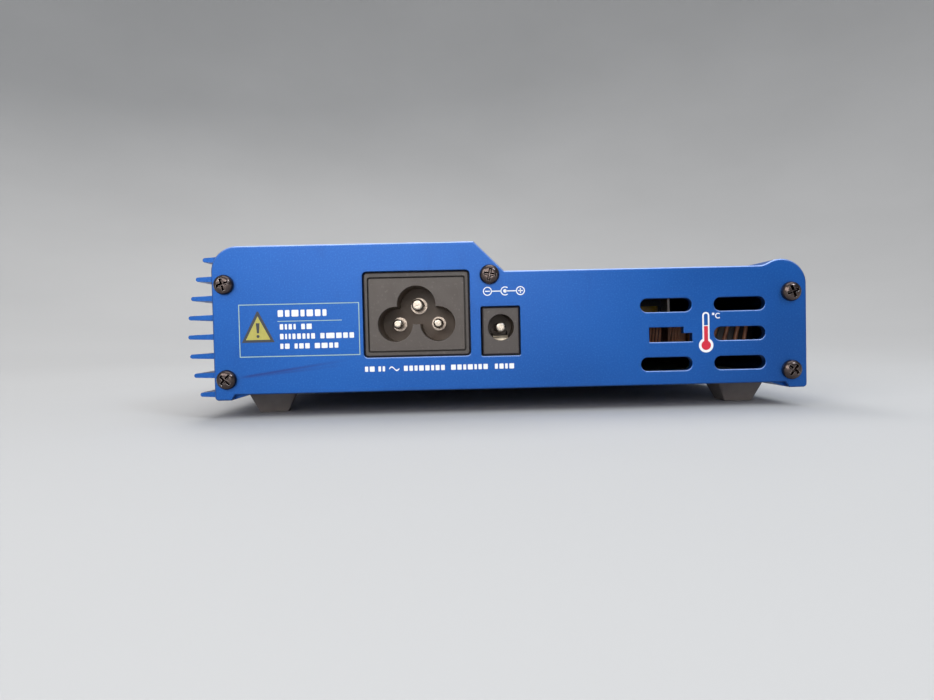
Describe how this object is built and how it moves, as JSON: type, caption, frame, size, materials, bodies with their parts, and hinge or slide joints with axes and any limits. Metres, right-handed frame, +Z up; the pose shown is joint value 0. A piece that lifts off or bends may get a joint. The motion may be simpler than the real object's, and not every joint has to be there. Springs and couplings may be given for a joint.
{
  "type": "soldering iron station",
  "caption": "Low soldering station base in a blue extruded case with cooling fins, tray top, mains and DC inlets, display, keys and a handpiece socket.",
  "frame": {"origin": "middle of the overall footprint, at the level of the surface that the feet stand on", "axes": "+Z up, +Y towards the rear panel with the inlets, +X towards the finned side"},
  "size_m": [0.149, 0.168, 0.0412],
  "materials": {
    "case_blue": "fine blasted, anodised blue",
    "panel_blue": "fine blasted, anodised blue, printed",
    "screw_black": "black nickel",
    "inner_screw": "zinc plated",
    "connector_black": "moulded, slightly satin",
    "pin_nickel": "bright nickel",
    "socket_nickel": "satin nickel",
    "contact_brass": "gold flashed",
    "foot_rubber": "matt",
    "overlay_black": "gloss",
    "display_screen": "backlit",
    "key_grey": "satin silicone",
    "plunger_black": "satin",
    "switch_black": "satin",
    "board_green": "solder mask",
    "post_brass": "turned",
    "sheet_clear": "satin film",
    "capacitor_sleeve": "shrink sleeve",
    "capacitor_yellow": "cast resin",
    "ferrite_grey": "sintered",
    "core_coated": "coated iron powder",
    "copper_wire": "enamelled copper",
    "winding_tape": "polyester tape over enamelled copper",
    "bobbin_black": "moulded phenolic",
    "fuse_brown": "moulded",
    "heatsink_plain": "mill finish",
    "pad_grey": "silicone",
    "transistor_black": "epoxy",
    "lead_yellow_green": "PVC",
    "lead_red": "silicone",
    "header_white": "moulded nylon",
    "ribbon_grey": "PVC"
  },
  "bodies": {
    "station": {"bridge_rectifier": "transistor_black", "bulk_capacitors": "capacitor_sleeve", "case_profile": "case_blue", "control_board": "board_green", "control_board_posts": "post_brass", "control_board_screws": "inner_screw", "control_ribbon": "ribbon_grey", "display_module": "display_screen", "earth_lead": "lead_yellow_green", "foot_front_fin": "foot_rubber", "foot_front_tray": "foot_rubber", "foot_rear_fin": "foot_rubber", "foot_rear_tray": "foot_rubber", "front_overlay": "overlay_black", "front_panel": "panel_blue", "front_screws": "screw_black", "fuse": "fuse_brown", "heat_spreader": "heatsink_plain", "inlet_body": "connector_black", "inlet_earth_pin": "pin_nickel", "inlet_power_pins": "pin_nickel", "insulating_sheet": "sheet_clear", "jack_body": "connector_black", "jack_leaf": "pin_nickel", "jack_pin": "pin_nickel", "main_board": "board_green", "mains_choke_core": "ferrite_grey", "mains_choke_winding": "copper_wire", "output_capacitors": "capacitor_sleeve", "output_choke_core": "core_coated", "output_choke_winding": "copper_wire", "output_heatsink": "heatsink_plain", "power_transistors": "transistor_black", "rear_panel": "panel_blue", "rear_screws": "screw_black", "socket_contacts": "contact_brass", "socket_insert": "connector_black", "socket_lead_header": "header_white", "socket_leads": "lead_red", "socket_nut": "socket_nickel", "socket_shell": "socket_nickel", "spreader_screws": "inner_screw", "suppression_capacitor": "capacitor_yellow", "switch_bodies": "switch_black", "thermal_pad": "pad_grey", "transformer_bobbin": "bobbin_black", "transformer_core": "ferrite_grey", "transformer_winding": "winding_tape"},
    "power_key": {"key_power": "key_grey", "plunger_power": "plunger_black"},
    "minus_key": {"key_minus": "key_grey", "plunger_minus": "plunger_black"},
    "plus_key": {"key_plus": "key_grey", "plunger_plus": "plunger_black"},
    "preset_1_key": {"key_preset_1": "key_grey", "plunger_preset_1": "plunger_black"},
    "preset_2_key": {"key_preset_2": "key_grey", "plunger_preset_2": "plunger_black"},
    "preset_3_key": {"key_preset_3": "key_grey", "plunger_preset_3": "plunger_black"}
  },
  "joints": [
    {"name": "power_key_press", "type": "slide", "parent": "station", "child": "power_key", "axis": [0, 1, 0], "range_m": [0, 0.0005], "stiffness_N_per_m": 2000, "springref_m": -0.0004},
    {"name": "minus_key_press", "type": "slide", "parent": "station", "child": "minus_key", "axis": [0, 1, 0], "range_m": [0, 0.0005], "stiffness_N_per_m": 2000, "springref_m": -0.0004},
    {"name": "plus_key_press", "type": "slide", "parent": "station", "child": "plus_key", "axis": [0, 1, 0], "range_m": [0, 0.0005], "stiffness_N_per_m": 2000, "springref_m": -0.0004},
    {"name": "preset_1_key_press", "type": "slide", "parent": "station", "child": "preset_1_key", "axis": [0, 1, 0], "range_m": [0, 0.0005], "stiffness_N_per_m": 2000, "springref_m": -0.0004},
    {"name": "preset_2_key_press", "type": "slide", "parent": "station", "child": "preset_2_key", "axis": [0, 1, 0], "range_m": [0, 0.0005], "stiffness_N_per_m": 2000, "springref_m": -0.0004},
    {"name": "preset_3_key_press", "type": "slide", "parent": "station", "child": "preset_3_key", "axis": [0, 1, 0], "range_m": [0, 0.0005], "stiffness_N_per_m": 2000, "springref_m": -0.0004}
  ]
}
